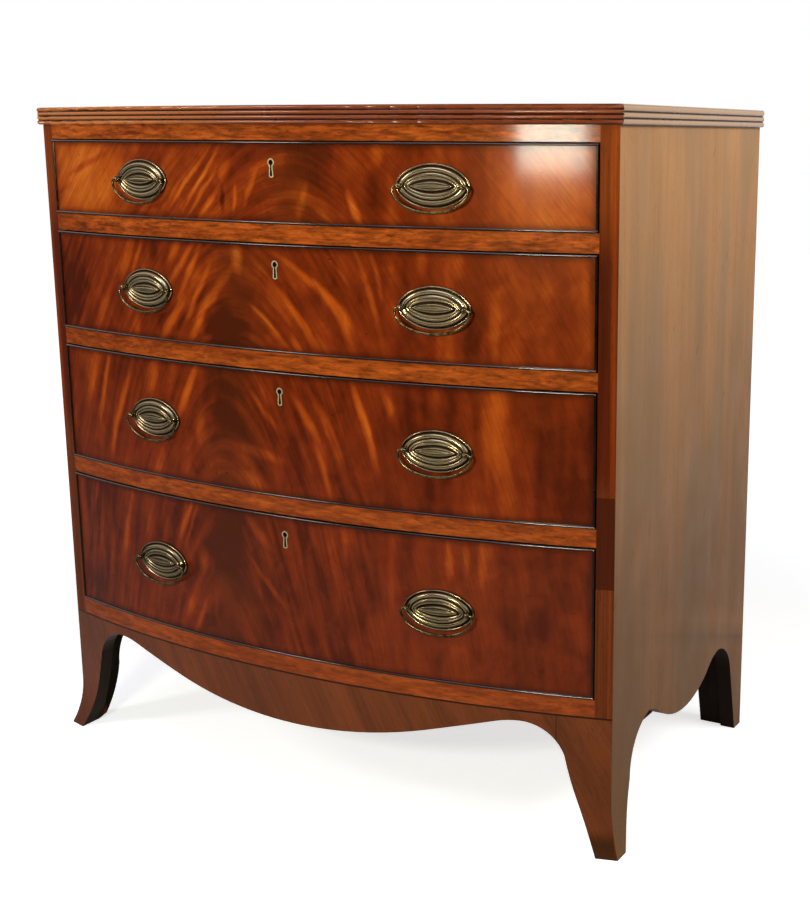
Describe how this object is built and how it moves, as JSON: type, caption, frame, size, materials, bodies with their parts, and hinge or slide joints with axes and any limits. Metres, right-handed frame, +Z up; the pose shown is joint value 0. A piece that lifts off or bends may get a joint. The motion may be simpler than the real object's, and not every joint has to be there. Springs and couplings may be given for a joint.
{
  "type": "bow front chest of drawers",
  "caption": "Bow fronted wooden chest with full width drawers on splayed feet, a shaped apron, a reeded top edge, keyholes and oval brass plate handles with swinging bails.",
  "frame": {"origin": "middle of the chest's floor box, on the floor", "axes": "+X to the right end as seen from the front, +Y to the back, +Z up; drawers open towards -Y"},
  "size_m": [0.92, 0.53, 0.915],
  "materials": {
    "mahogany_front": "polished flame veneer",
    "mahogany_solid": "polished",
    "mahogany_rail": "polished",
    "mahogany_bead": "polished",
    "secondary_wood": "bare and aged",
    "brass": "aged, worn bright on the ridges",
    "lock_iron": "dark"
  },
  "bodies": {
    "carcass": {"top": "mahogany_solid", "left_side": "mahogany_solid", "right_side": "mahogany_solid", "back_boards": "secondary_wood", "top_rail": "mahogany_rail", "drawer_rails": "mahogany_rail", "bottom_rail": "mahogany_rail", "runners": "secondary_wood", "dustboards": "secondary_wood", "bottom_board": "secondary_wood", "apron": "mahogany_rail", "front_feet": "mahogany_solid", "foot_blocks": "secondary_wood", "rear_brackets": "secondary_wood", "glue_blocks": "secondary_wood", "drawer_stops": "secondary_wood"},
    "drawer_1": {"drawer_1_front": "mahogany_front", "drawer_1_cockbead": "mahogany_bead", "drawer_1_linings": "secondary_wood", "drawer_1_bottom": "secondary_wood", "drawer_1_escutcheon": "brass", "drawer_1_lock": "lock_iron", "drawer_1_handle_plates": "brass", "drawer_1_handle_posts": "brass"},
    "drawer_1_lock_bolt": {"drawer_1_lock_bolt": "brass"},
    "drawer_1_left_bail": {"drawer_1_left_bail": "brass"},
    "drawer_1_right_bail": {"drawer_1_right_bail": "brass"},
    "drawer_2": {"drawer_2_front": "mahogany_front", "drawer_2_cockbead": "mahogany_bead", "drawer_2_linings": "secondary_wood", "drawer_2_bottom": "secondary_wood", "drawer_2_escutcheon": "brass", "drawer_2_lock": "lock_iron", "drawer_2_handle_plates": "brass", "drawer_2_handle_posts": "brass"},
    "drawer_2_lock_bolt": {"drawer_2_lock_bolt": "brass"},
    "drawer_2_left_bail": {"drawer_2_left_bail": "brass"},
    "drawer_2_right_bail": {"drawer_2_right_bail": "brass"},
    "drawer_3": {"drawer_3_front": "mahogany_front", "drawer_3_cockbead": "mahogany_bead", "drawer_3_linings": "secondary_wood", "drawer_3_bottom": "secondary_wood", "drawer_3_escutcheon": "brass", "drawer_3_lock": "lock_iron", "drawer_3_handle_plates": "brass", "drawer_3_handle_posts": "brass"},
    "drawer_3_lock_bolt": {"drawer_3_lock_bolt": "brass"},
    "drawer_3_left_bail": {"drawer_3_left_bail": "brass"},
    "drawer_3_right_bail": {"drawer_3_right_bail": "brass"},
    "drawer_4": {"drawer_4_front": "mahogany_front", "drawer_4_cockbead": "mahogany_bead", "drawer_4_linings": "secondary_wood", "drawer_4_bottom": "secondary_wood", "drawer_4_escutcheon": "brass", "drawer_4_lock": "lock_iron", "drawer_4_handle_plates": "brass", "drawer_4_handle_posts": "brass"},
    "drawer_4_lock_bolt": {"drawer_4_lock_bolt": "brass"},
    "drawer_4_left_bail": {"drawer_4_left_bail": "brass"},
    "drawer_4_right_bail": {"drawer_4_right_bail": "brass"}
  },
  "joints": [
    {"name": "drawer_1_slide", "type": "slide", "parent": "carcass", "child": "drawer_1", "axis": [0, -1, 0], "range_m": [0, 0.34]},
    {"name": "drawer_1_lock_bolt_throw", "type": "slide", "parent": "drawer_1", "child": "drawer_1_lock_bolt", "axis": [0, 0, 1], "range_m": [0, 0.008]},
    {"name": "drawer_1_left_bail_swing", "type": "hinge", "parent": "drawer_1", "child": "drawer_1_left_bail", "pos_m": [-0.22629, -0.25338, 0.8214], "axis": [-0.991, 0.1339, 0], "range_deg": [-12, 190]},
    {"name": "drawer_1_right_bail_swing", "type": "hinge", "parent": "drawer_1", "child": "drawer_1_right_bail", "pos_m": [0.22629, -0.25338, 0.8214], "axis": [-0.991, -0.1339, 0], "range_deg": [-12, 190]},
    {"name": "drawer_2_slide", "type": "slide", "parent": "carcass", "child": "drawer_2", "axis": [0, -1, 0], "range_m": [0, 0.34]},
    {"name": "drawer_2_lock_bolt_throw", "type": "slide", "parent": "drawer_2", "child": "drawer_2_lock_bolt", "axis": [0, 0, 1], "range_m": [0, 0.008]},
    {"name": "drawer_2_left_bail_swing", "type": "hinge", "parent": "drawer_2", "child": "drawer_2_left_bail", "pos_m": [-0.22629, -0.25338, 0.6784], "axis": [-0.991, 0.1339, 0], "range_deg": [-12, 190]},
    {"name": "drawer_2_right_bail_swing", "type": "hinge", "parent": "drawer_2", "child": "drawer_2_right_bail", "pos_m": [0.22629, -0.25338, 0.6784], "axis": [-0.991, -0.1339, 0], "range_deg": [-12, 190]},
    {"name": "drawer_3_slide", "type": "slide", "parent": "carcass", "child": "drawer_3", "axis": [0, -1, 0], "range_m": [0, 0.34]},
    {"name": "drawer_3_lock_bolt_throw", "type": "slide", "parent": "drawer_3", "child": "drawer_3_lock_bolt", "axis": [0, 0, 1], "range_m": [0, 0.008]},
    {"name": "drawer_3_left_bail_swing", "type": "hinge", "parent": "drawer_3", "child": "drawer_3_left_bail", "pos_m": [-0.22629, -0.25338, 0.5034], "axis": [-0.991, 0.1339, 0], "range_deg": [-12, 190]},
    {"name": "drawer_3_right_bail_swing", "type": "hinge", "parent": "drawer_3", "child": "drawer_3_right_bail", "pos_m": [0.22629, -0.25338, 0.5034], "axis": [-0.991, -0.1339, 0], "range_deg": [-12, 190]},
    {"name": "drawer_4_slide", "type": "slide", "parent": "carcass", "child": "drawer_4", "axis": [0, -1, 0], "range_m": [0, 0.34]},
    {"name": "drawer_4_lock_bolt_throw", "type": "slide", "parent": "drawer_4", "child": "drawer_4_lock_bolt", "axis": [0, 0, 1], "range_m": [0, 0.008]},
    {"name": "drawer_4_left_bail_swing", "type": "hinge", "parent": "drawer_4", "child": "drawer_4_left_bail", "pos_m": [-0.22629, -0.25338, 0.3004], "axis": [-0.991, 0.1339, 0], "range_deg": [-12, 190]},
    {"name": "drawer_4_right_bail_swing", "type": "hinge", "parent": "drawer_4", "child": "drawer_4_right_bail", "pos_m": [0.22629, -0.25338, 0.3004], "axis": [-0.991, -0.1339, 0], "range_deg": [-12, 190]}
  ]
}
